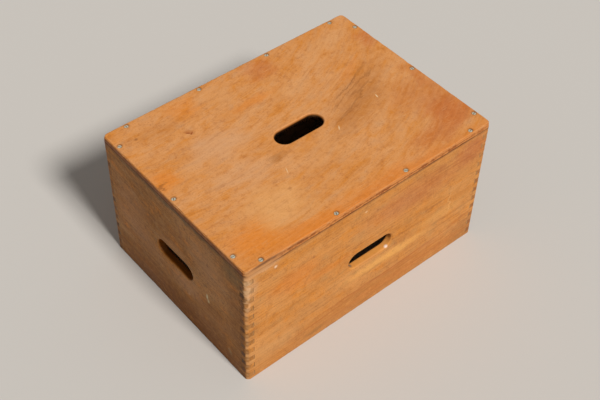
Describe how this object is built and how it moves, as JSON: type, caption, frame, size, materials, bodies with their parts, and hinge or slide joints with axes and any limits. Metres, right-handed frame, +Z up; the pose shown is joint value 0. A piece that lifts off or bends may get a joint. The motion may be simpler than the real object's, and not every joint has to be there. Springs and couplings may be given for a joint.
{
  "type": "storage crate",
  "caption": "Varnished wooden storage crate with comb-jointed corners, a screwed plywood panel and round-ended hand holes, standing with its open side down.",
  "frame": {"origin": "middle of the footprint, on the surface that the crate stands on", "axes": "+X along the long side, +Z up through the plywood panel; the front long board faces -Y"},
  "size_m": [0.49, 0.355, 0.257],
  "materials": {
    "long_boards": "aged amber varnish on solid wood",
    "end_boards": "aged amber varnish on solid wood",
    "plywood_panel": "aged amber varnish on plywood",
    "screws": "dull zinc"
  },
  "bodies": {
    "root": {"front_board": "long_boards", "back_board": "long_boards", "left_board": "end_boards", "right_board": "end_boards", "top_panel": "plywood_panel", "screw_front_1": "screws", "screw_front_2": "screws", "screw_front_3": "screws", "screw_front_4": "screws", "screw_back_1": "screws", "screw_back_2": "screws", "screw_back_3": "screws", "screw_back_4": "screws", "screw_left_1": "screws", "screw_left_2": "screws", "screw_left_3": "screws", "screw_right_1": "screws", "screw_right_2": "screws", "screw_right_3": "screws"}
  },
  "joints": []
}
